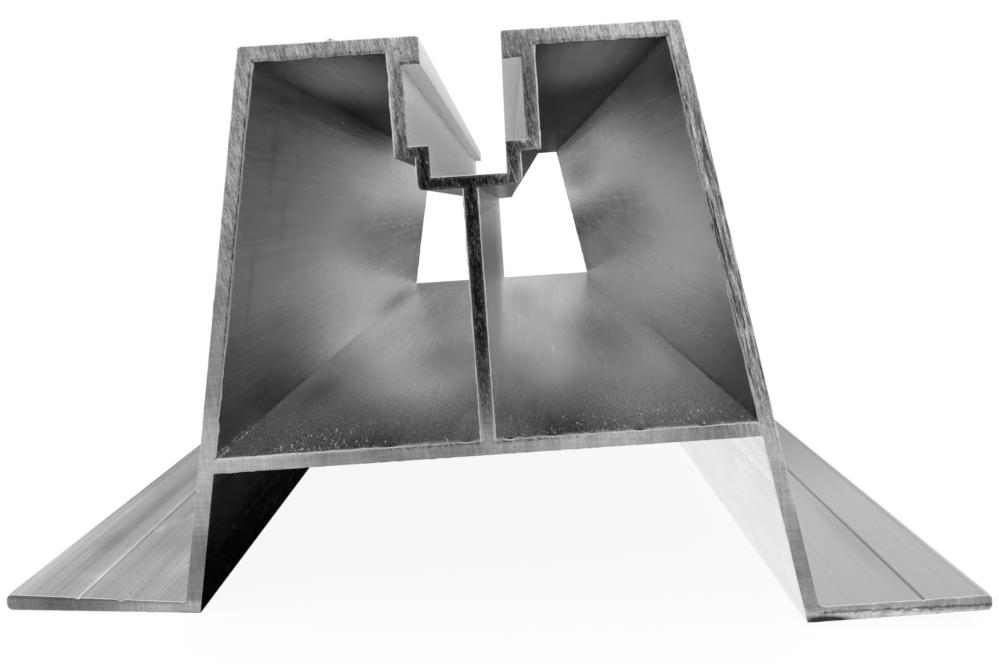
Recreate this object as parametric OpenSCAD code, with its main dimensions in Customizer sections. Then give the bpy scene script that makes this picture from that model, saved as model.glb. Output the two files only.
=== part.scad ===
// Aluminium base rail with a bolt slot, two hollow chambers and two foot flanges.
// One extruded bar, sawn square at both ends, standing on its left foot and its right heel.
// X runs across the rail, Y along it away from the viewer, Z up.
// The origin is the middle of the rail's footprint, on the floor.

/* [Bar] */
// Length between the two saw cuts
length = 330; // [20:1:1500]
// Lean of the body to the left, as it stands on its flat left foot
lean = 5.2; // [0:0.1:10]

/* [Body] */
// Width across the top face
top_w = 60.4; // [45:0.5:90]
// Height of the body, from its top face to the underside of its bottom wall
body_h = 59; // [40:0.5:75]
// Slope of each side wall from the upright, in degrees
flare = 11; // [4:0.25:18]
// Thickness of the side walls and legs, square to their faces
wall_t = 2.3; // [1:0.05:4]
// Thickness of the top wall
top_t = 2.1; // [1:0.05:6]
// Thickness of the bottom wall
bottom_t = 2.2; // [1:0.05:6]
// Thickness of the web between the two chambers
web_t = 2.1; // [1:0.05:5]

/* [Bolt slot] */
// Width of the mouth between the two lips
mouth_w = 11.2; // [6:0.1:14]
// Thickness of the lips
lip_t = 3.9; // [2:0.05:8]
// Width of the channel that holds a bolt head
channel_w = 16.2; // [13:0.1:24]
// Depth of the two ledges below the top face
ledge_d = 14.8; // [10:0.1:16]
// Thickness of the ledges
ledge_t = 1.5; // [1:0.05:2.8]
// Width of the groove below the ledges
groove_w = 10.6; // [6:0.1:13]
// Depth of the groove's floor below the top face
groove_d = 19.2; // [17.4:0.1:30]
// Thickness of the groove's floor
floor_t = 1.7; // [1:0.05:4]
// Thickness of the slot's walls
slot_wall_t = 2; // [1:0.05:4]

/* [Feet] */
// Height of the whole section, measured square to the top face
section_h = 87.4; // [76:0.1:130]
// Width of each foot, from its leg to its toe
foot_w = 25.6; // [19:0.1:60]
// Thickness of the feet at their toes
foot_t = 2.4; // [1.9:0.05:5]
// Thickness of the left foot beside its leg
left_heel_t = 1.7; // [1:0.05:2.4]
// Distance of the drilling groove from the leg
mark_x = 15.4; // [8:0.1:20]
// Width of the drilling groove
mark_w = 0.7; // [0.4:0.05:1.6]
// Depth of the drilling groove
mark_d = 0.15; // [0.1:0.05:0.8]

/* [Edges] */
// Radius of the two outer top edges
top_r = 0.5; // [0.1:0.05:1.5]
// Radius of the edges of the mouth
mouth_r = 0.3; // [0.1:0.05:1]
// Radius of the corners inside the slot and the chambers
inner_r = 0.2; // [0.1:0.05:0.6]
// Radius under the groove, where it stands out into the chambers
groove_r = 1; // [0.2:0.05:1.4]
// Fillet between the left foot and its leg
left_fillet_r = 0.4; // [0.1:0.05:3]
// Fillet between the right foot and its leg
right_fillet_r = 1.2; // [0.1:0.05:4]
// Radius of the upper edge of each toe
toe_upper_r = 0.6; // [0.1:0.05:0.9]
// Radius of the lower edge of each toe
toe_lower_r = 0.9; // [0.1:0.05:0.9]

/* [Hidden] */
// Flat steps in each rounded corner
arc_steps = 5;
// Slope of a side wall, as its run for each millimetre of depth
run = tan(flare);
// Thickness of a side wall, measured level
wall_w = wall_t / cos(flare);
// Half the width of the top face, out to the walls' outer and inner faces
outer_half = top_w / 2;
inner_half = outer_half - wall_w;
// Height of the middle of the top face when the right heel touches the floor
stand_h = section_h * (cos(lean) - run * sin(lean)) - inner_half * sin(lean);

function unit(v) = v / norm(v);

// Where a point of the upright section lies once the rail stands on the floor
function stand(p) = [p.x * cos(lean) - p.y * sin(lean), stand_h + p.x * sin(lean) + p.y * cos(lean)];

// A corner of the standing section and its radius, from a point of the upright section
function corner(x, y, r = 0) = concat(stand([x, y]), r);

// Point of the upright section on a side wall's face, at a depth below the top face
function on_wall(side, half, depth) = [side * (half + run * depth), -depth];

// Depth at which a side wall's face reaches a height above the floor
function depth_at(side, half, z) = (stand_h + side * half * sin(lean) - z) / (cos(lean) - side * run * sin(lean));

// Points along the arc that rounds the corner b between its neighbours a and c
function corner_arc(a, b, c, r) =
    let (
        u = unit(a - b),
        v = unit(c - b),
        half = acos(u * v) / 2,
        centre = b + unit(u + v) * r / sin(half),
        first = b + u * r / tan(half) - centre,
        last = b + v * r / tan(half) - centre,
        sweep = sign(cross(first, last)) * (180 - 2 * half),
        start = atan2(first.y, first.x)
    )
    [for (i = [0:arc_steps]) let (t = start + sweep * i / arc_steps) centre + r * [cos(t), sin(t)]];

// Outline through a list of corners, each given as x, y and radius
function rounded(corners) = [
    for (i = [0:len(corners) - 1])
        let (
            n = len(corners),
            a = corners[(i + n - 1) % n],
            b = corners[i],
            c = corners[(i + 1) % n]
        )
        each b[2] == 0 ? [[b.x, b.y]] : corner_arc([a.x, a.y], [b.x, b.y], [c.x, c.y], b[2])
];

// Drilling groove in a foot's top face: p is its middle, v the way that the outline runs
function mark(p, v) =
    let (across = unit(v), down = [across.y, -across.x])
    [for (q = [p - across * mark_w / 2, p + down * mark_d, p + across * mark_w / 2]) [q.x, q.y, 0]];

// Left foot: flat on the floor, from under its toe to the foot of its leg
left_heel = stand(on_wall(-1, outer_half, depth_at(-1, outer_half, left_heel_t)));
left_toe = [left_heel.x - foot_w, foot_t];
left_slope = left_heel - left_toe;
left_foot = concat(
    [[left_toe.x, 0, toe_lower_r], [left_toe.x, left_toe.y, toe_upper_r]],
    mark(left_heel - mark_x * unit(left_slope), left_slope),
    [[left_heel.x, left_heel.y, left_fillet_r]]
);

// Right foot: square to the body, so that it rises from its heel to its toe
right_heel = on_wall(1, outer_half, section_h - foot_t);
right_toe = right_heel + [foot_w, 0];
right_foot = concat(
    [corner(right_heel.x, right_heel.y, right_fillet_r)],
    mark(stand(right_heel + [mark_x, 0]), stand(right_toe) - stand(right_heel)),
    [corner(right_toe.x, right_toe.y, toe_upper_r), corner(right_toe.x, -section_h, toe_lower_r)]
);

// Bolt slot, from the left lip round its floor to the right lip
slot_half = [
    [mouth_w / 2, 0, mouth_r],
    [mouth_w / 2, -lip_t, inner_r],
    [channel_w / 2, -lip_t, inner_r],
    [channel_w / 2, -ledge_d, inner_r],
    [groove_w / 2, -ledge_d, inner_r],
    [groove_w / 2, -groove_d, inner_r]
];
slot = concat(
    [for (c = slot_half) corner(-c.x, c.y, c[2])],
    [for (i = [len(slot_half) - 1:-1:0]) let (c = slot_half[i]) corner(c.x, c.y, c[2])]
);

// Space between the legs, from the right heel round the bottom wall to the left heel
left_inner_depth = depth_at(-1, inner_half, 0);
tunnel = [
    for (p = [
        on_wall(1, inner_half, section_h),
        on_wall(1, inner_half, body_h),
        on_wall(-1, inner_half, body_h),
        on_wall(-1, inner_half, left_inner_depth)
    ]) corner(p.x, p.y)
];

outer_corners = concat(
    left_foot,
    [corner(-outer_half, 0, top_r)],
    slot,
    [corner(outer_half, 0, top_r)],
    right_foot,
    tunnel
);
outline = rounded(outer_corners);
outline_x = [for (p = outline) p.x];
middle_x = (min(outline_x) + max(outline_x)) / 2;

// One hollow chamber beside the slot and the web: side is -1 for left, 1 for right
function chamber(side) =
    let (
        step_d = ledge_d + ledge_t,
        belly_d = groove_d + floor_t,
        base_d = body_h - bottom_t,
        top_out = on_wall(side, inner_half, top_t),
        base_out = on_wall(side, inner_half, base_d)
    )
    [
        corner(side * (channel_w / 2 + slot_wall_t), -top_t, inner_r),
        corner(top_out.x, top_out.y, inner_r),
        corner(base_out.x, base_out.y, inner_r),
        corner(side * web_t / 2, -base_d, inner_r),
        corner(side * web_t / 2, -belly_d, inner_r),
        corner(side * (groove_w / 2 + slot_wall_t), -belly_d, groove_r),
        corner(side * (groove_w / 2 + slot_wall_t), -step_d, inner_r),
        corner(side * (channel_w / 2 + slot_wall_t), -step_d, inner_r)
    ];

module section() {
    difference() {
        polygon(outline);
        polygon(rounded(chamber(-1)));
        polygon(rounded(chamber(1)));
    }
}

module rail() {
    color([0.74, 0.75, 0.76])
        rotate([90, 0, 0])
            linear_extrude(length, center = true)
                translate([-middle_x, 0])
                    section();
}

rail();
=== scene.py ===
# Looks of the aluminium base rail: sawn ends, die lines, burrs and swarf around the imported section.
import math

import bpy
import numpy as np
from mathutils import Matrix, Vector, noise
from mathutils.geometry import delaunay_2d_cdt
from mathutils.kdtree import KDTree

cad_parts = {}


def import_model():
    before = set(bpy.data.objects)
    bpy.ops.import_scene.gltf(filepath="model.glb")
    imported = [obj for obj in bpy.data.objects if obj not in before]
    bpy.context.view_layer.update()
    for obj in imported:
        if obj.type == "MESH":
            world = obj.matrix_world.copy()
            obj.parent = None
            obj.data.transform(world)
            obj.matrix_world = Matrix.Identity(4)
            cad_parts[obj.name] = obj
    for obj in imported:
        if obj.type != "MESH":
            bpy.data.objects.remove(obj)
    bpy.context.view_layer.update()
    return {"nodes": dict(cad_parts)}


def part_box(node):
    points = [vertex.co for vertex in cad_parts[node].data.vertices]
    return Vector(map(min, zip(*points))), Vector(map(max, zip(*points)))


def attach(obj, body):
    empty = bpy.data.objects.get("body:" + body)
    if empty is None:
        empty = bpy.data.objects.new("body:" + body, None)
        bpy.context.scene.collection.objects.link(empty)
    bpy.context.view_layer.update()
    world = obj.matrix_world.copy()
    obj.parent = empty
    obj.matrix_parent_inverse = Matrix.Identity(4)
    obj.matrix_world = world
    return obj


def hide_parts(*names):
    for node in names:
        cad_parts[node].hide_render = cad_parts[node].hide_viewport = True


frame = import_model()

MM = 0.001
RAIL = frame["nodes"]["rail"]
LOW, HIGH = (np.array(corner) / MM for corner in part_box("rail"))
SEED = 7

# Camera: it puts the corners of both sawn ends where the photograph has them
CAMERA_MM = (-0.90, -311.87, 60.12)
CAMERA_YAW = 1.467
CAMERA_PITCH = 6.967
CAMERA_ROLL = -1.507
FRAME_W_PX = 999
FOCAL_PX = 1050.2
SHIFT_PX = -32.4
SENSOR_MM = 36.0

# Fineness of the modelled surface, in millimetres
OUTLINE_STEP = 0.35
GRID_STEP = 0.27
# Each point of the grid is moved by up to this share of its step
GRID_JITTER = 0.3
# Distances from a sawn end of the rings of fine points round the rail, and of the ring of corners behind
RINGS = (0.0, 0.1, 0.25, 0.5, 1.0, 2.5)
CORNER_RING = 4.0
# Distances from an edge of the rings of points on a sawn face, and of the grid inside them
RIM_RINGS = (0.1, 0.22)
GRID_CLEAR = 0.33
# A ring's point is left out where it comes nearer to an edge than this share of the ring's distance
RING_CLEAR = 0.85
# An edge that turns by more than this is sharp
SHARP_DEG = 40
# How far apart the layers of noise for two seeds lie
NOISE_APART = 3.7

# Saw marks: they run down the end face, leaning to the right
SAW_LEAN_DEG = 16
# The sawn face lies this far inside the section's end, and its strokes are about this deep
SAW_INSET = 0.06
SAW_DEPTH = 0.03
# The strokes are two noises: each one's share, and its features' size across and along the strokes
STROKE_NOISES = ((1.0, (0.5, 4.0)), (0.6, (0.3, 1.5)))
# How deep they are by places: the usual share, how much it changes, and how large the places are
STROKE_PLACES = (0.8, 0.6, 7)
# The face rolls over at its edges: how far in from the edge, and how deep
ROLL_WIDTH = 0.15
ROLL_DEPTH = 0.1
# Burrs stand out of an edge by this much, and fade with this depth into the rail
BURR = 0.16
BURR_FADE = 0.45
# Burrs are ragged by two noises, each a share and a size
RAGGED_NOISES = ((0.6, 1.3), (0.4, 0.5))
# They are torn where another noise, of this size and lifted by this much, is above 0
TORN_PLACES = (5, 0.3)
# Burrs inside the section, as shares of BURR: usual, ragged, torn and slow, and the size of the slow noise
INNER_BURR = (0.4, 0.5, 1.8, 0.7)
SLOW_SIZE = 2.6
# Burrs on its outside: usual and torn
OUTER_BURR = (-0.35, 1.1)
# Marks on the edges of the near end: place, width, and how far the edge stands out or, below 0, is notched
EDGE_MARKS = (
    ((-25.6, 81.6), 0.6, 0.4),
    ((-55.4, 2.1), 0.4, -0.35),
    ((22.6, 82.1), 0.35, -0.3),
    ((23.4, 78.7), 0.4, -0.35),
    ((24.2, 74.9), 0.5, -0.3),
    ((27.5, 60.0), 0.8, -0.25),
)
# The ends of the right foot's top, and how far below them the line runs under which its face is torn
HEEL = (46.1, 2.56)
TOE = (71.6, 4.88)
TEAR = (0.95, 1.5)
# The metal below the line lies this much deeper, and this much more or less by a noise of this size
TORN_DEPTH = 0.06
TORN_WAVE = 0.08
TORN_WAVE_SIZE = (0.8, 0.3)

# Numbers of the rail's materials
OUTSIDE, LEFT_FOOT, SIDE, WEB, BASE, CEILING, CHANNEL, TUNNEL, RIGHT_LEG, SAWN, EDGE = range(11)
# The top face: its slope, and its height in the middle of the rail, less a little
TOP_SLOPE = 0.091
TOP_Z = 83.55
# Where the bolt slot, the web, the left foot and the space between the legs are
SLOT_X = (-17.3, 2.2)
SLOT_Z = (63.0, 81.0)
WEB_HALF = 9.0
WEB_TOP = 64.0
LEFT_FOOT_END = -46.0
FOOT_TOP = 3.0
TUNNEL_MIDDLE = (-3, 10)
TUNNEL_HALF = 45.5
TUNNEL_TOP = 28.0
# A wall in that space that faces left more than this is the right leg's
FACES_LEFT = -0.5
# Edges shorter than this belong to a small rounded corner
CORNER_EDGE = 0.15
# Edges that face up get a painted highlight, a lighter metal: how wide, and how steep they may face
EDGE_WIDTH = 0.17
EDGE_UP = 0.25
CHAMBER_EDGE_UP = -0.4

# Directions in the rail's own space
TO_RIGHT = (1, 0, 0)
TO_BACK = (0, 1, 0)
UP = (0, 0, 1)

# Grains of the mill finish: their sizes along X, Y and Z
FINE_LINES = (0.16, 60, 0.16)
DIE_LINES = (0.9, 160, 0.9)
SCORES = (0.22, 35, 0.22)
WAVES = (9, 60, 9)
FILM = (3, 14, 3)
DUST = (0.25, 0.8, 0.25)
# How much the fine lines and the die lines take from the grey and add to it
FINE_GREY = (0.08, 0.07)
LINE_GREY = (0.1, 0.08)
# Least and most share of the grey, and of the roughness
FILM_GREY = (0.94, 1.05)
FILM_ROUGH = (0.9, 1.12)
LINE_ROUGH = (0.9, 1.1)
# How deep the waves are, in millimetres
WAVE_DEPTH = 0.1
# Scores and dust begin at the first of these heights of their noise, and are full at the second
SCORE_BAND = (0.68, 0.75)
DUST_BAND = (0.45, 0.7)
# Dust lies on the metal this far behind the sawn end, and makes it lighter and duller by this much
DUST_REACH = 50
DUST_GREY = 0.2
DUST_ROUGH = 0.3
# No metal is lighter than this
LIGHTEST = 0.95
# Spots on the plain metal: their size and how deep they are
SPOTS = (0.5, 6, 0.5)
SPOT_DEPTH = 0.02

# Grains of the sawn faces: their sizes along X, Y and Z
STROKES = (0.22, 2, 1.7)
SHORT_STROKES = (0.15, 2, 0.7)
PATCHES = (4, 4, 6)
SPECKS = (0.3, 0.3, 0.3)
LENGTHWISE = (6, 2, 0.3)
LENGTHWISE_LEAN_DEG = 3
UPRIGHT = (0.3, 2, 7)
UPRIGHT_LEAN_DEG = 8
# Their usual grey, and the shares of it that each grain gives: the least, the most, and where in its noise
SAWN_GREY = 0.5
# The strokes are darker where they are lower: painted shade in their bottoms
STROKE_GREY = (0.6, 1.3, 0.38, 0.62)
SHORT_GREY = (0.85, 1.12)
SPECK_GREY = (0.8, 1.18, 0.35, 0.65)
PATCH_GREY = (0.85, 1.12, 0.35, 0.65)
SMOOTH_GREY = (0.85, 1.12)
# Their least and most roughness
SAWN_ROUGH = (0.17, 0.3)
# How deep the grains are, in millimetres
STROKE_BUMP = 0.01
TEAR_BUMP = 0.04
SPECK_BUMP = 0.004
WALL_BUMP = 0.03
# Short strokes begin to tear the metal at the first of these heights of their noise, and have at the second
TEAR_BAND = (0.6, 0.7)
# Torn metal is lighter by this much
TEAR_SHINE = 0.16
# Across the smooth part's edge: it is smooth below the first height, and all strokes above the second
SMOOTH_ACROSS = (0.22, 0, 1)
SMOOTH_BELOW = (28, 42)
# The sawn right wall is torn along its length: its cracks, with their greys and lean, and where it is
WALL_CRACKS = (0.28, 2, 5)
WALL_GREY = (-0.7, 0.75, 0.4, 0.6)
WALL_LEAN_DEG = 16.2
WALL_ACROSS = (0.96, 0, 0.279)
WALL_INSIDE = (41.6, 42.4)
WALL_TORN = (31, 37, 71, 77)
# The middle line of the slot and the web: its slope and place, and how wide the zone of painted dark
# reflection round it is
WEB_ACROSS = (1, 0, 0.091)
WEB_OFFSET = 0.55
WEB_ZONE = (6.5, 12)
# The zone is weaker at the foot and the top: how strong it is at two heights, and the two heights
ZONE_FOOT = (0.25, 1, 27, 42)
TOP_ACROSS = (-0.09, 0, 1)
ZONE_TOP = (1, 0.3, 77, 81)
# How dark the painted dark reflection is at its middle, and its specks: how much lighter they are, and where
# in their noise
ZONE_SHADE = 0.16
ZONE_SPECKS = (0, 0.5, 0.62, 0.7)
# The torn line across the right foot's face, darkened by painted shade: the way across it, its place, its
# half width, noise and shade
TEAR_ACROSS = (-0.0695, 0, 1)
TEAR_OFFSET = -1.6
TEAR_CRACK = (0.03, 0.35)
TEAR_GRAINS = (0.9, 1, 0.9)
TEAR_SWING = 0.2
TEAR_SHADE = 0.3
# It begins at the heel, over this distance to either side
TEAR_START = 1
# Painted shade in the corner of that foot's heel: its middle, its size, and its shades from its edge to its
# middle
HEEL_MIDDLE = (HEEL[0] + 1.5, LOW[1], 0.4)
HEEL_SIZE = (6, 30, 1.4)
HEEL_SHADE = (1, 0.08, 0.1, 0.6)
# Painted light and shade, standing in for the reflections and shade on the sawn faces, the feet, the side
# walls, the chamber floors and the ceilings: lighter and darker places, each a middle, a size, how much
# lighter or, below 0, darker, and for some a turn
SAWN_PAINTED_LIGHT = (
    ((-38, -165, 24), (16, 30, 9), 0.9),
    ((-64, -165, 1), (20, 30, 5), -0.7),
    ((-46, -165, 6), (6, 30, 12), -0.25),
    ((4, -165, 27), (30, 30, 5), 0.9),
    ((58, -165, 3), (20, 30, 5), 0.4),
    ((14, -165, 84), (24, 30, 5), 0.5),
    ((-16, -165, 81), (7, 30, 4), 0.5),
    ((39, -165, 24), (10, 30, 18), 0.6),
    ((-44, -165, 17), (8, 30, 9), 0.5),
    ((-17.5, -165, 73), (5, 30, 9), 0.9),
    ((0.5, -165, 66.5), (4, 30, 6), 1.6),
    ((-1, -165, 63.5), (5, 30, 3), 2.0),
)
FOOT_PAINTED_LIGHT = (
    ((62, -42, 4), (30, 78, 6), -0.62),
    ((60, -135, 4), (3, 40, 3), -0.2),
    ((71.5, -150, 5), (2, 40, 3), 0.35),
    ((-57, -70, 2), (20, 90, 4), -0.2),
    ((-71.5, -150, 2), (4, 50, 3), 0.6),
    ((-65.3, -120, 2), (2.5, 55, 3), -0.4),
    ((-61.8, -155, 2), (2, 25, 3), 0.3),
    ((-57.8, -130, 2), (2, 30, 3), -0.15),
    ((-68, -86, 2), (1.8, 30, 3), 0.2),
    ((-60.4, -132.5, 2), (1.6, 3.5, 3), 0.35),
    ((-58.6, -128.5, 2), (1.6, 3.5, 3), 0.4),
    ((-56.8, -124.5, 2), (1.6, 3.5, 3), 0.4),
    ((-55.5, -140, 2), (4, 9, 3), -0.2),
    ((-63, -156, 2), (7, 3, 3), 0.12),
    ((-52, -112, 2), (3, 22, 3), -0.22),
    ((-66, -140, 2), (3, 9, 3), -0.25),
    ((-59.5, -108, 2), (2.2, 14, 3), 0.2),
    ((-69.5, -118, 2), (2.5, 16, 3), 0.22),
    ((-51, -150, 2), (3, 10, 3), 0.18),
)
SIDE_PAINTED_LIGHT = (
    ((-36.2, -48, 79), (5, 130, 11), -0.72),
    ((-36.2, -150, 78), (5, 60, 9), -0.3),
    ((-38.3, -40, 56), (5, 85, 22), 0.48),
    ((-40, 85, 42), (6, 110, 16), 0.45),
    ((-41.2, -162, 25), (4, 28, 11), 0.9),
    ((-38, -165, 56), (6, 95, 30), -0.32),
    ((-41.6, 80, 23), (5, 130, 5), -0.3),
    ((-37.4, -146.5, 65), (4, 3, 13), -0.16),
    ((-38, -135, 58), (4, 4, 14), -0.1),
    ((-39.3, -153.7, 46), (4, 2, 12), -0.18),
    ((20.4, 30, 84), (6, 260, 6.5), -0.68),
    ((21.5, -165, 78), (6, 30, 8), -0.35),
    ((24, 70, 70), (6, 150, 10), -0.5),
    ((26, -130, 62), (6, 50, 8), 0.3),
    ((28.8, -5, 54), (6, 60, 8), 0.48),
    ((31, 75, 46), (6, 70, 9), 0.45),
    ((30, -165, 50), (9, 60, 16), -0.12),
    ((35.5, -150, 32), (6, 55, 8), 0.6),
    ((33, 100, 38), (6, 60, 6), 0.4),
)
BASE_PAINTED_LIGHT = (
    ((-37, -161, 23), (7, 12, 4), 0.4),
    ((-37, -115, 23), (9, 34, 4), -0.3),
    ((-20, -162, 25), (9, 13, 4), -0.3),
    ((-5, -158, 26), (4, 24, 3), 1.3),
    ((-26.6, -118, 24), (6, 45, 4), 0.25, 17),
    ((-28, -10, 24.6), (20, 130, 5), -0.2),
    ((-16, -78, 25.4), (13, 50, 4), -0.26),
    ((-39, 90, 23), (6, 90, 4), -0.3),
    ((23, -154, 28.7), (12, 32, 4), 0.8),
    ((8, -160, 27.5), (6, 18, 3), -0.3),
    ((-0.5, -163, 26.6), (5, 14, 3), 1.1),
    ((19, 60, 28.6), (5, 90, 4), 0.3, -4),
    ((22, -50, 28.8), (13, 75, 4), -0.25),
    ((35, -85, 29.8), (5, 110, 3), -0.25),
    ((4, 60, 27.5), (9, 100, 4), -0.2),
)
CEILING_PAINTED_LIGHT = (
    ((-28.5, -136, 79), (16, 62, 6), 6.6),
    ((10, -143, 82.6), (12, 60, 6), 8.0),
)
# Painted light and shade in thin lines along the feet's grooves: place across the rail, width, and how much
# of the grey is left in them
RIGHT_GROOVES = ((61.4, 0.45, 0.55), (70.4, 0.5, 0.8))
LEFT_GROOVES = ((-61.5, 0.3, 1.5), (-61.1, 0.25, 0.8))

# Swarf: ends of the line across the rail on which it lies, its least and most depth into the rail, its count
SWARF = (
    ((-34, 23.6), (-21, 24.8), 2, 22, 260),
    ((-41, 22.9), (-8, 26.0), 1, 30, 150),
    ((-41.5, 23.0), (-41.2, 22.95), 1, 30, 90),
    ((10, 27.6), (35, 29.9), 1, 26, 260),
    ((-1, 26.6), (12, 27.8), 1, 20, 60),
    ((-69, 2.4), (-49, 2.0), 2, 40, 60),
    ((-15.7, 77.5), (-14.9, 69.0), 1, 16, 40),
    ((-11.0, 63.5), (-2.0, 64.3), 1, 16, 20),
)
SWARF_SIZE = (0.04, 0.11)
# Each crumb is stretched by shares between these, and this power gathers the crumbs near the saw cut
SWARF_STRETCH = (0.4, 1.6)
SWARF_GATHER = 1.5
# The floor: half its width and its drop below the rail in metres, how bright it looks, and its paint's grey
FLOOR_HALF = 8.0
FLOOR_DROP = 0.0001
FLOOR_GLOW = 0.92
FLOOR_GREY = 0.12
# Light from all round: what the camera and mirrors see, and what lights the rest
WORLD_SEEN = 1.0
WORLD_LIGHT = 0.8
# The colour of all the light
WHITE = (1, 1, 1, 1)


def values_of(items, width, kind, name):
    """One property of a mesh's items, as an array with that many columns."""
    values = np.empty(len(items) * width, kind)
    items.foreach_get(name, values)
    return values.reshape(-1, width)


def end_loops(mesh, y):
    """Closed outlines of the section at the end plane y, in millimetres, the longest first."""
    mesh.calc_loop_triangles()
    places = np.round(values_of(mesh.vertices, 3, np.float32, "co").astype(float) / MM, 3)
    unique, index = np.unique(places, axis=0, return_inverse=True)
    triangles = index.reshape(-1)[values_of(mesh.loop_triangles, 3, np.int32, "vertices")]
    at_end = np.all(np.abs(unique[triangles][:, :, 1] - y) < 0.01, axis=1)
    edges = {pair for a, b, c in triangles[at_end] for pair in ((a, b), (b, c), (c, a))}
    border = {a: b for a, b in sorted(edges) if (b, a) not in edges}
    loops = []
    while border:
        start = min(border)
        chain = [start]
        here = border.pop(start)
        while here != start:
            chain.append(here)
            here = border.pop(here)
        loops.append(unique[chain][:, [0, 2]])
    return sorted(loops, key=lambda loop: -np.ptp(loop[:, 0]))


def metal_on_left(loop, is_outer):
    """The loop in the direction that keeps the metal on its left."""
    x, z = loop.T
    area = np.sum(x * np.roll(z, -1) - z * np.roll(x, -1))
    return loop if (area > 0) == is_outer else loop[::-1]


def crossing(a, b, c, d):
    """Where the line through a and b meets the line through c and d."""
    share = np.linalg.solve(np.stack([b - a, c - d], axis=1), c - a)[0]
    return a + share * (b - a)


def squared(loop, is_outer):
    """The outline with the small rounded corners inside the chambers and the slot drawn to a point."""
    lengths = np.linalg.norm(np.roll(loop, -1, axis=0) - loop, axis=1)
    loop = np.roll(loop, -1 - int(np.argmax(lengths)), axis=0)
    short = np.linalg.norm(np.roll(loop, -1, axis=0) - loop, axis=1) < CORNER_EDGE
    in_slot = (SLOT_X[0] < loop[:, 0]) & (loop[:, 0] < SLOT_X[1])
    in_slot &= (SLOT_Z[0] < loop[:, 1]) & (loop[:, 1] < SLOT_Z[1])
    if is_outer:
        short &= in_slot
    count = len(loop)
    points, i = [], 0
    while i < count:
        if not short[i]:
            points.append(loop[i])
            i += 1
            continue
        first = i
        while short[i]:
            i += 1
        points.append(crossing(loop[first - 1], loop[first], loop[i], loop[(i + 1) % count]))
        i += 1
    return np.array(points)


def finer(loop, step):
    """The same closed outline with points no more than a step apart, and the numbers of its corners."""
    points, corners = [], []
    for a, b in zip(loop, np.roll(loop, -1, axis=0)):
        parts = max(1, math.ceil(np.linalg.norm(b - a) / step))
        corners.append(len(points))
        points.extend(a + (b - a) * i / parts for i in range(parts))
    return np.array(points), corners


def across_edges(loop, before, after):
    """Unit directions out of the metal, square to the line between two neighbours of each point."""
    along = np.roll(loop, -after, axis=0) - np.roll(loop, before, axis=0)
    along /= np.linalg.norm(along, axis=1)[:, None]
    return np.stack([along[:, 1], -along[:, 0]], axis=1)


def outward(loop):
    """Unit directions that point out of the metal at each point of an outline."""
    return across_edges(loop, 1, 1)


def main_corners(loop, corners):
    """The numbers of an outline's corners, and of the points beside those that the light runs round."""
    before = across_edges(loop, 1, 0)
    after = across_edges(loop, 0, 1)
    limit = math.cos(math.radians(SHARP_DEG))
    kept = set(corners)
    for i in corners:
        if before[i] @ after[i] > limit:
            kept |= {(i - 1) % len(loop), (i + 1) % len(loop)}
    return sorted(kept)


def inside(points, loops):
    """Which points lie in the metal, by the even-odd rule."""
    result = np.zeros(len(points), bool)
    for loop in loops:
        for a, b in zip(loop, np.roll(loop, -1, axis=0)):
            if a[1] == b[1]:
                continue
            crosses = (a[1] > points[:, 1]) != (b[1] > points[:, 1])
            x = a[0] + (points[:, 1] - a[1]) * (b[0] - a[0]) / (b[1] - a[1])
            result ^= crosses & (points[:, 0] < x)
    return result


def distance_to(points, loops):
    """Distance of each point from the nearest outline."""
    nearest = np.full(len(points), np.inf)
    for loop in loops:
        for a, b in zip(loop, np.roll(loop, -1, axis=0)):
            along = b - a
            share = np.clip((points - a) @ along / (along @ along), 0, 1)
            gap = points - a - share[:, None] * along
            nearest = np.minimum(nearest, np.einsum("ij,ij->i", gap, gap))
    return np.sqrt(nearest)


def wander(points, size, seed):
    """Smooth noise, about -1 to 1, at 2-D points, its features as large as size (one number or two)."""
    scaled = points / np.asarray(size, float)
    level = seed * NOISE_APART
    return np.array([noise.noise(Vector((p[0], p[1], level))) for p in scaled])


def layered(points, noises, seed):
    """Several noises added up, each a share and a size."""
    return sum(share * wander(points, size, seed + i) for i, (share, size) in enumerate(noises))


def tear_height(x):
    """Height of the torn line across the right foot's face, in millimetres."""
    share = (x - HEEL[0]) / (TOE[0] - HEEL[0])
    return HEEL[1] - TEAR[0] + share * (TOE[1] - HEEL[1] - TEAR[1] + TEAR[0])


def saw_relief(points, seed):
    """Height of the saw marks at each point of an end face, in millimetres."""
    lean = math.radians(SAW_LEAN_DEG)
    turn = np.array([[math.cos(lean), -math.sin(lean)], [math.sin(lean), math.cos(lean)]])
    turned = points @ turn
    strokes = layered(turned, STROKE_NOISES, seed)
    usual, change, size = STROKE_PLACES
    return SAW_DEPTH * strokes * (usual + change * wander(points, size, seed + 2))


def burr_offset(points, is_outer, end, seed):
    """How far each edge point at a sawn end stands out of the metal, in millimetres."""
    ragged = layered(points, RAGGED_NOISES, seed)
    size, lift = TORN_PLACES
    torn = np.clip(wander(points, size, seed + 2) + lift, 0, 1)
    if not is_outer:
        usual, rough, tears, slow = INNER_BURR
        waves = wander(points, SLOW_SIZE, seed + 3)
        return BURR * (usual + tears * ragged * torn + rough * ragged + slow * waves)
    usual, tears = OUTER_BURR
    offset = BURR * (tears * ragged * torn + usual)
    if end == 0:
        for place, width, out in EDGE_MARKS:
            distance = np.linalg.norm(points - np.array(place), axis=1)
            offset += out * np.exp(-((distance / width) ** 2))
    return offset


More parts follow.
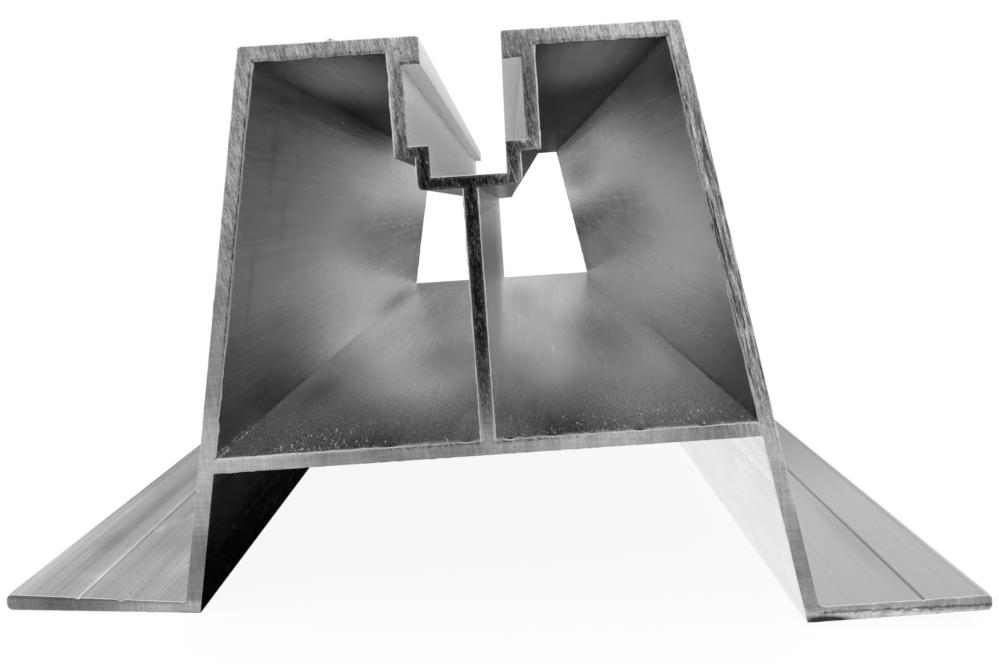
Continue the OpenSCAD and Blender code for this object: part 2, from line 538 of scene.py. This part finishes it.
def wall_slot(middle, away, in_chamber):
    """Number of the material of a wall's strip, from the middle of its edge and the way that it faces."""
    if in_chamber:
        if abs(away[0]) > abs(away[1]):
            on_web = abs(middle[0]) < WEB_HALF and middle[1] < WEB_TOP
            return WEB if on_web else SIDE
        return BASE if away[1] > 0 else CEILING
    below_top = middle[1] - TOP_SLOPE * middle[0] < TOP_Z
    if SLOT_X[0] < middle[0] < SLOT_X[1] and middle[1] > SLOT_Z[0] and below_top:
        return CHANNEL
    between_legs = abs(middle[0]) < TUNNEL_HALF and middle[1] < TUNNEL_TOP
    faces_in = away @ (np.array(TUNNEL_MIDDLE) - middle) > 0
    if between_legs and faces_in:
        return RIGHT_LEG if away[0] < FACES_LEFT else TUNNEL
    return LEFT_FOOT if middle[0] < LEFT_FOOT_END and middle[1] < FOOT_TOP else OUTSIDE


def gets_painted_highlight(away, is_outer):
    """Whether an edge that faces away gets a painted highlight."""
    return away[1] > (EDGE_UP if is_outer else CHAMBER_EDGE_UP)


def strip(near, far, start, stop, count):
    """Face between two rings, each a table of point numbers, from one place on the outline to another."""
    span = [i % count for i in range(start, stop + (count if stop <= start else 0) + 1)]
    near_ids = [near[i] for i in span if i in near]
    far_ids = [far[i] for i in span if i in far]
    return tuple(near_ids[:1] + far_ids + near_ids[:0:-1])


def rail_walls(loops, corners):
    """Points, faces and materials of every wall between the sawn ends, and each end's rims."""
    points, faces, slots, rims = [], [], [], [[], []]
    near = [(LOW[1] + depth, depth, False) for depth in RINGS] + [(LOW[1] + CORNER_RING, CORNER_RING, True)]
    far = [(HIGH[1] - depth, depth, coarse) for _, depth, coarse in reversed(near)]
    for number, loop in enumerate(loops):
        is_outer = number == 0
        count = len(loop)
        away = outward(loop)
        middles = (loop + np.roll(loop, -1, axis=0)) / 2
        kinds = [wall_slot(p, a, not is_outer) for p, a in zip(middles, across_edges(loop, 0, 1))]
        # Strips at the ends whose edges face up take the painted highlight
        edge_kinds = [EDGE if gets_painted_highlight(a, is_outer) else kind for a, kind in zip(away, kinds)]
        offsets = [burr_offset(loop, is_outer, end, SEED + 10 * end + number) for end in (0, 1)]
        kept = main_corners(loop, corners[number])
        rings = []
        for place, depth, coarse in near + far:
            end = int(place > 0)
            inwards = (SAW_INSET + ROLL_DEPTH) * math.exp(-depth / BURR_FADE) * (1 - 2 * end)
            moved = loop + away * (offsets[end] * math.exp(-((depth / BURR_FADE) ** 2)))[:, None]
            chosen = kept if coarse else range(count)
            rings.append((coarse, {i: len(points) + j for j, i in enumerate(chosen)}))
            points.extend((moved[i][0], place + inwards, moved[i][1]) for i in chosen)
        for ring in range(len(rings) - 1):
            (coarse, here), (coarse_after, after) = rings[ring:ring + 2]
            starts = kept if coarse or coarse_after else list(range(count))
            used = edge_kinds if ring in (0, len(rings) - 2) else kinds
            for start, stop in zip(starts, starts[1:] + starts[:1]):
                faces.append(strip(here, after, start, stop, count))
                slots.append(used[start])
        rims[0].append(list(rings[0][1].values()))
        rims[1].append(list(rings[-1][1].values()))
    return points, faces, slots, rims


def face_points(loops, coarse, seed):
    """Points on a sawn face: rings along its edges, and a jittered grid between them."""
    low, high = coarse[0].min(axis=0), coarse[0].max(axis=0)
    x, z = np.meshgrid(np.arange(low[0], high[0], GRID_STEP), np.arange(low[1], high[1], GRID_STEP))
    grid = np.stack([x.ravel(), z.ravel()], axis=1)
    grid += np.random.default_rng(seed).uniform(-GRID_JITTER, GRID_JITTER, grid.shape) * GRID_STEP
    grid = grid[inside(grid, coarse)]
    groups = [(grid, GRID_CLEAR)]
    for depth in RIM_RINGS:
        groups += [(loop - outward(loop) * depth, RING_CLEAR * depth) for loop in loops]
    return np.concatenate([group[distance_to(group, coarse) > least] for group, least in groups])


def cap_slots(middles, loops):
    """Numbers of the materials of a sawn face's triangles, from their middles."""
    rim = [(p, a, number == 0) for number, loop in enumerate(loops) for p, a in zip(loop, outward(loop))]
    near = KDTree(len(rim))
    for i, (p, _, _) in enumerate(rim):
        near.insert((p[0], p[1], 0), i)
    near.balance()
    slots = []
    for middle in middles:
        _, i, distance = near.find((middle[0], middle[1], 0))
        highlighted = distance < EDGE_WIDTH and gets_painted_highlight(rim[i][1], rim[i][2])
        slots.append(EDGE if highlighted else SAWN)
    return slots


def end_cap(points, rims, loops, coarse, end):
    """Adds a sawn face's points inside its rims, and returns its triangles and their materials."""
    rim_ids = [i for ids in rims for i in ids]
    rim = [Vector((points[i][0], points[i][2])) for i in rim_ids]
    edges, outlines, start = [], [], 0
    for ids in rims:
        stop = start + len(ids)
        edges += [(i, i + 1 if i + 1 < stop else start) for i in range(start, stop)]
        outlines.append(np.array(rim[start:stop]))
        start = stop
    added = face_points(loops, coarse, SEED + end)
    added = added[inside(added, outlines)]
    cloud = rim + [Vector(p) for p in added]
    placed, _, triangles, _, _, _ = delaunay_2d_cdt(cloud, edges, [], 0, 1e-7, True)
    if len(placed) != len(cloud):
        raise ValueError("the rims of a sawn face cross")
    middles = np.array([sum((placed[i] for i in t), Vector((0, 0))) / 3 for t in triangles])
    edge = distance_to(added, coarse)
    roll = np.exp(-((edge / ROLL_WIDTH) ** 2))
    depth = SAW_INSET + ROLL_DEPTH * roll - (1 - roll) * saw_relief(added, SEED + 5 * end)
    torn = (added[:, 0] > HEEL[0]) & (added[:, 1] < tear_height(added[:, 0])) & (end == 0)
    depth = np.maximum(depth + torn * (TORN_DEPTH + TORN_WAVE * wander(added, TORN_WAVE_SIZE, SEED)), 0)
    y = LOW[1] + depth if end == 0 else HIGH[1] - depth
    number = rim_ids + list(range(len(points), len(points) + len(added)))
    points.extend((p[0], place, p[1]) for p, place in zip(added, y))
    kept = inside(middles, outlines)
    ordered = [t if end == 0 else t[::-1] for t, keep in zip(triangles, kept) if keep]
    return [tuple(number[i] for i in t) for t in ordered], cap_slots(middles[kept], loops)


def mesh_object(name, points, faces, materials, slots=None):
    """A mesh object from points in millimetres, smooth but for its sharp edges, that rides on the rail."""
    mesh = bpy.data.meshes.new(name)
    mesh.from_pydata([Vector(p) * MM for p in points], [], faces)
    for material in materials:
        mesh.materials.append(material)
    if slots is not None:
        mesh.polygons.foreach_set("material_index", slots)
    mesh.validate()
    mesh.shade_smooth()
    mesh.set_sharp_from_angle(angle=math.radians(SHARP_DEG))
    piece = bpy.data.objects.new(name, mesh)
    bpy.context.scene.collection.objects.link(piece)
    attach(piece, "root")
    return piece


def camera():
    """The camera at the photograph's viewpoint."""
    yaw, pitch, roll = (math.radians(a) for a in (CAMERA_YAW, CAMERA_PITCH, CAMERA_ROLL))
    ahead = Vector((math.sin(yaw) * math.cos(pitch), math.cos(yaw) * math.cos(pitch), -math.sin(pitch)))
    level = ahead.cross(Vector((0, 0, 1))).normalized()
    down = ahead.cross(level)
    right = math.cos(roll) * level + math.sin(roll) * down
    up = math.sin(roll) * level - math.cos(roll) * down
    data = bpy.data.cameras.new("camera")
    data.sensor_width = SENSOR_MM
    data.lens = FOCAL_PX / FRAME_W_PX * SENSOR_MM
    data.shift_x = SHIFT_PX / FRAME_W_PX
    data.clip_start = 0.01
    data.clip_end = 50
    made = bpy.data.objects.new("camera", data)
    turn = Matrix((right, up, -ahead)).transposed().to_4x4()
    made.matrix_world = Matrix.Translation(Vector(CAMERA_MM) * MM) @ turn
    bpy.context.scene.collection.objects.link(made)
    bpy.context.scene.camera = made


def node(tree, kind, inputs=(), **settings):
    """A shader node with its settings, and its inputs by name or number: a value, or a socket to link."""
    made = tree.nodes.new(kind)
    for name, value in settings.items():
        setattr(made, name, value)
    for key, value in dict(inputs).items():
        if isinstance(value, bpy.types.NodeSocket):
            tree.links.new(value, made.inputs[key])
        else:
            made.inputs[key].default_value = value
    return made


def new_material(name):
    """An empty material, its tree and the output's surface socket."""
    material = bpy.data.materials.new(name)
    material.use_nodes = True
    material.node_tree.nodes.clear()
    output = node(material.node_tree, "ShaderNodeOutputMaterial")
    return material, material.node_tree, output.inputs["Surface"]


def grain(tree, size_mm, lean=0.0, detail=2.0, shift=0.0):
    """Noise from 0 to 1 in the rail's own space, its features as large as size_mm along X, Y and Z."""
    place = node(tree, "ShaderNodeTexCoord")
    turned = node(tree, "ShaderNodeMapping", {
        "Vector": place.outputs["Object"],
        "Location": (shift, shift, shift),
        "Rotation": (0, math.radians(lean), 0),
        "Scale": tuple(s * MM for s in size_mm),
    }, vector_type="TEXTURE")
    made = node(tree, "ShaderNodeTexNoise", {
        "Vector": turned.outputs["Vector"],
        "Scale": 1.0,
        "Detail": detail,
        "Roughness": 0.6,
    })
    return made.outputs["Fac"]


def ranged(tree, value, low, high, start=0.3, stop=0.7):
    """The value's stretch from start to stop, spread from low to high."""
    made = node(tree, "ShaderNodeMapRange", {
        "Value": value,
        "From Min": start,
        "From Max": stop,
        "To Min": low,
        "To Max": high,
    })
    return made.outputs["Result"]


def maths(tree, operation, a, b):
    """The result of one sum on two values."""
    return node(tree, "ShaderNodeMath", {0: a, 1: b}, operation=operation).outputs[0]


def times(tree, *factors):
    """The product of several values."""
    result = factors[0]
    for factor in factors[1:]:
        result = maths(tree, "MULTIPLY", result, factor)
    return result


def size_of(tree, value):
    """The value without its sign."""
    return maths(tree, "ABSOLUTE", value, 0)


def bumped(tree, layers):
    """The normal after several heights, each a pair of the height and its depth in millimetres."""
    normal = None
    for height, depth in layers:
        inputs = {"Height": height, "Distance": depth * MM, "Strength": 1.0}
        if normal is not None:
            inputs["Normal"] = normal
        normal = node(tree, "ShaderNodeBump", inputs).outputs["Normal"]
    return normal


def along(tree, direction):
    """How far a point of the rail lies along a direction, in millimetres."""
    place = node(tree, "ShaderNodeTexCoord")
    scaled = tuple(share / MM for share in direction)
    inputs = {0: place.outputs["Object"], 1: scaled}
    return node(tree, "ShaderNodeVectorMath", inputs, operation="DOT_PRODUCT").outputs["Value"]


def painted_spot(tree, middle, size, turn=0.0):
    """1 at a point of the rail, fading to 0 at this distance from it along X, Y and Z, turned about Z."""
    place = node(tree, "ShaderNodeTexCoord")
    scaled = node(tree, "ShaderNodeMapping", {
        "Vector": place.outputs["Object"],
        "Location": tuple(m * MM for m in middle),
        "Rotation": (0, 0, math.radians(turn)),
        "Scale": tuple(s * MM for s in size),
    }, vector_type="TEXTURE")
    length = node(tree, "ShaderNodeVectorMath", {0: scaled.outputs["Vector"]}, operation="LENGTH")
    return node(tree, "ShaderNodeMapRange", {
        "Value": length.outputs["Value"],
        "From Min": 0.0,
        "From Max": 1.0,
        "To Min": 1.0,
        "To Max": 0.0,
    }, interpolation_type="SMOOTHSTEP").outputs["Result"]


def with_painted_light(tree, shade, painted_light):
    """The shade after several spots of painted light and shade: each a middle, a size, how much it lightens,
    and perhaps a turn.
    """
    for middle, size, gain, *turn in painted_light:
        change = times(tree, painted_spot(tree, middle, size, *turn), gain)
        shade = times(tree, shade, maths(tree, "ADD", change, 1.0))
    return shade


def spread(value, change, amount):
    """A value lowered and raised by the two parts of a change, each times an amount."""
    return value - change[0] * amount, value + change[1] * amount


def dust(tree, level):
    """Powder near the near sawn end, from 0 to the level."""
    near = ranged(tree, along(tree, TO_BACK), level, 0, LOW[1], LOW[1] + DUST_REACH)
    return times(tree, near, ranged(tree, grain(tree, DUST, detail=4, shift=1.7), 0, 1, *DUST_BAND))


def mill_finish(
    name, grey, roughness, depth,
    streaks=1.0, aniso=0.93, dusty=0.0, scores=0.0, dull=0.0, painted_light=(), grooves=(),
):
    """Extruded metal: die lines along the rail, slow waves, a dull film, dust near the sawn end, and spots
    and lines of painted light and shade.

    The depth is that of the waves, and streaks is how strongly the lines show, both as shares of the usual.
    Where dull is above 0, dark places stay dark under a grazing light too, the more so the smaller it is.
    """
    material, tree, surface = new_material(name)
    fine = grain(tree, FINE_LINES, detail=3)
    lines = grain(tree, DIE_LINES, detail=3, shift=0.3)
    waves = grain(tree, WAVES, detail=1, shift=0.7)
    film = grain(tree, FILM, detail=4, shift=0.9)
    score = ranged(tree, grain(tree, SCORES, detail=1, shift=1.3), 0, 1, *SCORE_BAND)
    powder = dust(tree, dusty)
    fine_shade = ranged(tree, fine, *spread(1, FINE_GREY, streaks))
    line_shade = ranged(tree, lines, *spread(1, LINE_GREY, streaks))
    shade = times(tree, fine_shade, line_shade, ranged(tree, film, *FILM_GREY))
    shade = maths(tree, "ADD", shade, times(tree, score, scores))
    # Spots of painted light and shade, standing in for reflections
    shade = with_painted_light(tree, times(tree, shade, grey), painted_light)
    shade = maths(tree, "ADD", shade, times(tree, powder, DUST_GREY))
    shade = maths(tree, "MINIMUM", shade, LIGHTEST)
    rough = times(tree, ranged(tree, film, *FILM_ROUGH), ranged(tree, lines, *LINE_ROUGH), roughness)
    # Painted light and shade along the grooves
    for place, width, gain in grooves:
        off = size_of(tree, maths(tree, "SUBTRACT", along(tree, TO_RIGHT), place))
        shade = times(tree, shade, ranged(tree, off, gain, 1, 0.5 * width, width))
    across = node(tree, "ShaderNodeTangent", direction_type="RADIAL", axis="Y")
    shader = node(tree, "ShaderNodeBsdfPrincipled", {
        "Base Color": shade,
        "Metallic": 1.0,
        "Roughness": maths(tree, "ADD", rough, times(tree, powder, DUST_ROUGH)),
        "Anisotropic": aniso,
        "Tangent": across.outputs["Tangent"],
        "Normal": bumped(tree, [(waves, WAVE_DEPTH * depth)]),
    })
    if dull:
        tree.links.new(ranged(tree, shade, 0.0, 1.0, 0.0, dull), shader.inputs["Specular Tint"])
    tree.links.new(shader.outputs["BSDF"], surface)
    return material


def plain_metal(name, low, high, roughness):
    """Metal without a direction, its grey between low and high."""
    material, tree, surface = new_material(name)
    film = grain(tree, SPOTS, detail=4)
    shader = node(tree, "ShaderNodeBsdfPrincipled", {
        "Base Color": ranged(tree, film, low, high),
        "Metallic": 1.0,
        "Roughness": roughness,
        "Normal": bumped(tree, [(film, SPOT_DEPTH)]),
    })
    tree.links.new(shader.outputs["BSDF"], surface)
    return material


def at_torn_wall(tree):
    """1 on the part of the sawn right wall that is torn along its length, and 0 elsewhere."""
    height = along(tree, UP)
    lower = ranged(tree, height, 0, 1, *WALL_TORN[:2])
    upper = ranged(tree, height, 1, 0, *WALL_TORN[2:])
    return times(tree, lower, upper, ranged(tree, along(tree, WALL_ACROSS), 0, 1, *WALL_INSIDE))


def at_slot(tree):
    """1 on the sawn face round the slot and the web, where a dark reflection is painted, weaker towards the
    top face and the bottom wall.
    """
    aside = size_of(tree, maths(tree, "ADD", along(tree, WEB_ACROSS), WEB_OFFSET))
    zone = ranged(tree, aside, 1, 0, *WEB_ZONE)
    above_foot = ranged(tree, along(tree, UP), *ZONE_FOOT)
    return times(tree, zone, above_foot, ranged(tree, along(tree, TOP_ACROSS), *ZONE_TOP))


def foot_crack(tree):
    """1 on the torn line across the right foot's sawn face, and 0 elsewhere."""
    line = maths(tree, "SUBTRACT", along(tree, TEAR_ACROSS), TEAR_OFFSET)
    swing = ranged(tree, grain(tree, TEAR_GRAINS, detail=3), -TEAR_SWING, TEAR_SWING)
    line = maths(tree, "ADD", line, swing)
    at_foot = ranged(tree, along(tree, TO_RIGHT), 0, 1, HEEL[0] - TEAR_START, HEEL[0] + TEAR_START)
    return times(tree, ranged(tree, size_of(tree, line), 1, 0, *TEAR_CRACK), at_foot)


def sawn_finish():
    """Sawn metal: leaning strokes with painted shade in their bottoms, smoother below, a painted dark
    reflection round the slot and the web, and painted shade in the heel's corner and along the torn line.
    """
    material, tree, surface = new_material("sawn_end")
    strokes = grain(tree, STROKES, lean=-SAW_LEAN_DEG, detail=4)
    short = grain(tree, SHORT_STROKES, lean=-SAW_LEAN_DEG, detail=3, shift=0.4)
    patches = grain(tree, PATCHES, detail=2, shift=0.8)
    specks = grain(tree, SPECKS, detail=3, shift=0.2)
    lengthwise = grain(tree, LENGTHWISE, lean=-LENGTHWISE_LEAN_DEG, detail=3, shift=0.5)
    upright = grain(tree, UPRIGHT, lean=-UPRIGHT_LEAN_DEG, detail=3, shift=0.6)
    cracks = grain(tree, WALL_CRACKS, lean=-WALL_LEAN_DEG, detail=3, shift=1.1)
    tears = ranged(tree, short, 0, 1, *TEAR_BAND)
    # Painted shade in the strokes' bottoms, where their bump is lowest
    long_shade = ranged(tree, strokes, *STROKE_GREY)
    short_shade = ranged(tree, short, *SHORT_GREY)
    cut = times(tree, long_shade, short_shade, ranged(tree, specks, *SPECK_GREY))
    rough_wall = times(tree, ranged(tree, cracks, *WALL_GREY), at_torn_wall(tree))
    cut = times(tree, cut, maths(tree, "ADD", rough_wall, 1))
    smooth = times(tree, ranged(tree, lengthwise, *SMOOTH_GREY), ranged(tree, upright, *SMOOTH_GREY))
    upper = ranged(tree, along(tree, SMOOTH_ACROSS), 0, 1, *SMOOTH_BELOW)
    shade = node(tree, "ShaderNodeMix", {0: upper, 2: smooth, 3: cut}).outputs[0]
    shade = times(tree, shade, ranged(tree, patches, *PATCH_GREY))
    # Spots of painted light and shade on the sawn faces
    shade = with_painted_light(tree, times(tree, shade, SAWN_GREY), SAWN_PAINTED_LIGHT)
    zone = at_slot(tree)
    # Painted dark reflection round the slot and the web
    shade = times(tree, shade, ranged(tree, zone, 1.0, ZONE_SHADE, 0, 1))
    shade = maths(tree, "ADD", shade, times(tree, tears, upper, TEAR_SHINE))
    shade = maths(tree, "ADD", shade, times(tree, ranged(tree, specks, *ZONE_SPECKS), zone))
    # Painted shade along the torn line
    shade = times(tree, shade, ranged(tree, foot_crack(tree), 1, TEAR_SHADE, 0, 1))
    # Painted shade in the heel's corner
    shade = times(tree, shade, ranged(tree, painted_spot(tree, HEEL_MIDDLE, HEEL_SIZE), *HEEL_SHADE))
    bumps = [(strokes, STROKE_BUMP), (tears, TEAR_BUMP), (specks, SPECK_BUMP), (rough_wall, WALL_BUMP)]
    shader = node(tree, "ShaderNodeBsdfPrincipled", {
        "Base Color": maths(tree, "MINIMUM", shade, LIGHTEST),
        "Metallic": 1.0,
        "Roughness": ranged(tree, strokes, *SAWN_ROUGH),
        "Normal": bumped(tree, bumps),
    })
    tree.links.new(shader.outputs["BSDF"], surface)
    return material


def seen(tree):
    """1 for what the camera sees, itself or in the metal or through glass, and 0 for other light."""
    path = node(tree, "ShaderNodeLightPath")
    direct = maths(tree, "MAXIMUM", path.outputs["Is Camera Ray"], path.outputs["Is Glossy Ray"])
    return maths(tree, "MAXIMUM", direct, path.outputs["Is Transmission Ray"])


def world():
    """White all round for the camera and the metal, a softer light for the rest."""
    made = bpy.data.worlds.new("studio")
    bpy.context.scene.world = made
    made.use_nodes = True
    tree = made.node_tree
    tree.nodes.clear()
    level = ranged(tree, seen(tree), WORLD_LIGHT, WORLD_SEEN, 0, 1)
    light = node(tree, "ShaderNodeBackground", {"Color": WHITE, "Strength": level})
    output = node(tree, "ShaderNodeOutputWorld")
    tree.links.new(light.outputs["Background"], output.inputs["Surface"])


def glow(tree, strength):
    """White light given off by a surface."""
    return node(tree, "ShaderNodeEmission", {"Color": WHITE, "Strength": strength}).outputs[0]


def panel(name, corners, material):
    """A flat object through four corners in metres."""
    mesh = bpy.data.meshes.new(name)
    mesh.from_pydata(corners, [], [(0, 1, 2, 3)])
    mesh.materials.append(material)
    made = bpy.data.objects.new(name, mesh)
    bpy.context.scene.collection.objects.link(made)
    return made


def floor():
    """A pale floor that keeps a soft shadow."""
    material, tree, surface = new_material("studio_floor")
    shine = glow(tree, times(tree, seen(tree), FLOOR_GLOW))
    paint = node(tree, "ShaderNodeBsdfDiffuse", {"Color": (FLOOR_GREY, FLOOR_GREY, FLOOR_GREY, 1)})
    both = node(tree, "ShaderNodeAddShader", {0: shine, 1: paint.outputs[0]})
    tree.links.new(both.outputs[0], surface)
    signs = [(-1, -1), (1, -1), (1, 1), (-1, 1)]
    made = panel("floor", [(x * FLOOR_HALF, y * FLOOR_HALF, -FLOOR_DROP) for x, y in signs], material)


def card(name, low, high, level):
    """A flat panel, from one corner to the other in millimetres, that only the metal reflects."""
    flat = next(i for i in range(3) if low[i] == high[i])
    u, v = [i for i in range(3) if i != flat]
    corners = []
    for along_u, along_v in ((0, 0), (1, 0), (1, 1), (0, 1)):
        corner = list(low)
        corner[u] = (low, high)[along_u][u]
        corner[v] = (low, high)[along_v][v]
        corners.append(Vector(corner) * MM)
    material, tree, surface = new_material(name)
    tree.links.new(glow(tree, level), surface)
    made = panel(name, corners, material)
    for kind in ("camera", "diffuse", "transmission", "volume_scatter", "shadow"):
        setattr(made, "visible_" + kind, False)


def cards():
    """Panels round the rail: dark ones by the camera, a black one standing in for the shade under the rail,
    grey ones on the floor and behind.
    """
    card("camera_card", (-36, -318, 0), (14, -318, 94), 0.0)
    card("hand_card", (46, -318, 32), (74, -318, 72), 0.08)
    card("front_card", (-1500, -1400, 1), (1500, -1400, 1300), 0.68)
    card("front_mat", (-1500, -1400, 1), (1500, -167, 1), 0.5)
    # A black sheet under the rail between the legs, seen only in the metal: painted shade of the floor there
    card("tunnel_shade_card", (-47, -165, 0.1), (-4, 165, 0.1), 0.0)
    card("near_mat_left", (-400, 240, 1), (0, 418, 1), 0.3)
    card("near_mat_right", (0, 240, 1), (400, 418, 1), 0.12)
    card("middle_mat_left", (-1500, 418, 1), (-80, 900, 1), 0.08)
    card("middle_mat", (-80, 418, 1), (75, 900, 1), 0.16)
    card("middle_mat_right", (75, 418, 1), (1500, 900, 1), 0.02)
    card("dark_mat", (-1500, 900, 1), (1500, 2000, 1), 0.02)
    card("far_mat_left", (-150, 2000, 1), (0, 4000, 1), 0.9)
    card("far_mat", (0, 2000, 1), (150, 4000, 1), 0.1)
    card("far_mat_right", (150, 2000, 1), (3000, 4000, 1), 0.7)
    card("rear_left", (-3000, 4000, 1), (-450, 4000, 650), 0.36)
    card("rear_left_top", (-3000, 4000, 650), (-450, 4000, 1000), 0.1)
    card("rear_dark", (-450, 4000, 1), (-150, 4000, 350), 0.12)
    card("rear_dark_top", (-450, 4000, 350), (-150, 4000, 1000), 0.36)
    card("rear_middle", (-150, 4000, 1), (150, 4000, 350), 0.78)
    card("rear_middle_top", (-150, 4000, 350), (150, 4000, 1000), 0.48)
    card("rear_right", (150, 4000, 1), (600, 4000, 650), 0.48)
    card("rear_far_right", (600, 4000, 1), (3000, 4000, 1000), 0.88)


def swarf(material):
    """Crumbs from the saw, on the chamber floors, the left foot and the slot's wall."""
    rng = np.random.default_rng(SEED)
    corners = np.array([(1, 0, 0), (0, 1, 0), (-1, 0, 0), (0, -1, 0), (0, 0, 1), (0, 0, -1)], float)
    sides = [(0, 1, 4), (1, 2, 4), (2, 3, 4), (3, 0, 4), (1, 0, 5), (2, 1, 5), (3, 2, 5), (0, 3, 5)]
    points, faces = [], []
    for start, end, least, most, count in SWARF:
        for _ in range(count):
            share = rng.uniform()
            depth = least + (most - least) * rng.uniform() ** SWARF_GATHER
            size = rng.uniform(*SWARF_SIZE)
            x, z = (1 - share) * np.array(start) + share * np.array(end)
            middle = np.array((x, LOW[1] + depth, z + 0.5 * size))
            turn = np.array(Matrix.Rotation(rng.uniform(0, math.pi), 3, Vector(rng.normal(size=3))))
            shape = corners * size * rng.uniform(*SWARF_STRETCH, 3)
            faces += [tuple(len(points) + i for i in side) for side in sides]
            points.extend(middle + shape @ turn)
    return mesh_object("swarf_chips", np.clip(points, LOW, HIGH), faces, [material])


def finishes():
    """The rail's materials, in the order of their numbers."""
    # The same aluminium has a different grey in each place: these greys are painted light and shade, darkest
    # on the ceilings and in the tunnel, lightest in the channel, on the web and on the right leg
    return [
        mill_finish(
            "mill_outside", 0.47, 0.3, 1.0,
            streaks=0.7, painted_light=FOOT_PAINTED_LIGHT, grooves=RIGHT_GROOVES,
        ),
        mill_finish(
            "mill_left_foot", 0.42, 0.3, 1.4,
            streaks=2.0, scores=0.5, painted_light=FOOT_PAINTED_LIGHT, grooves=LEFT_GROOVES,
        ),
        mill_finish(
            "mill_side", 0.74, 0.24, 0.8,
            streaks=0.9, aniso=0.95, scores=0.22, dull=0.6, painted_light=SIDE_PAINTED_LIGHT,
        ),
        mill_finish("mill_web", 0.92, 0.34, 0.6, streaks=1.0, aniso=0.9),
        mill_finish(
            "mill_base", 0.6, 0.24, 0.8,
            streaks=0.6, aniso=0.95, dusty=1.0, scores=0.5, dull=0.6, painted_light=BASE_PAINTED_LIGHT,
        ),
        # Painted shade: the ceilings are near black
        mill_finish(
            "mill_ceiling_painted_shade", 0.032, 0.2, 0.8,
            streaks=1.4, aniso=0.95, dull=0.25, painted_light=CEILING_PAINTED_LIGHT,
        ),
        # Painted light: the channel is near white
        mill_finish("mill_channel_painted_light", 0.98, 0.45, 0.6, streaks=0.2, aniso=0.0),
        # Painted shade in the tunnel between the legs
        mill_finish("mill_tunnel_painted_shade", 0.17, 0.24, 0.3),
        # Painted light on the right leg
        mill_finish("mill_right_leg_painted_light", 0.98, 0.3, 0.2, streaks=0.1),
        sawn_finish(),
        # Painted highlight along the edges that face up
        plain_metal("painted_highlight_edge", 0.8, 0.95, 0.3),
    ]


outlines = [metal_on_left(loop, i == 0) for i, loop in enumerate(end_loops(RAIL.data, LOW[1]))]
outlines = [squared(loop, i == 0) for i, loop in enumerate(outlines)]
fine_loops, corners = zip(*(finer(loop, OUTLINE_STEP) for loop in outlines))
points, walls, slots, rims = rail_walls(fine_loops, corners)
caps = [end_cap(points, rims[end], fine_loops, outlines, end) for end in (0, 1)]
points = np.clip(np.array(points), LOW, HIGH)
faces = walls + caps[0][0] + caps[1][0]
slots += caps[0][1] + caps[1][1]
metal = mesh_object("rail_metal", points, faces, finishes(), slots)
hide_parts("rail")
chips = swarf(plain_metal("swarf_metal", 0.8, 0.95, 0.35))

cards()
camera()
world()
floor()
bpy.context.scene.view_settings.view_transform = "Standard"
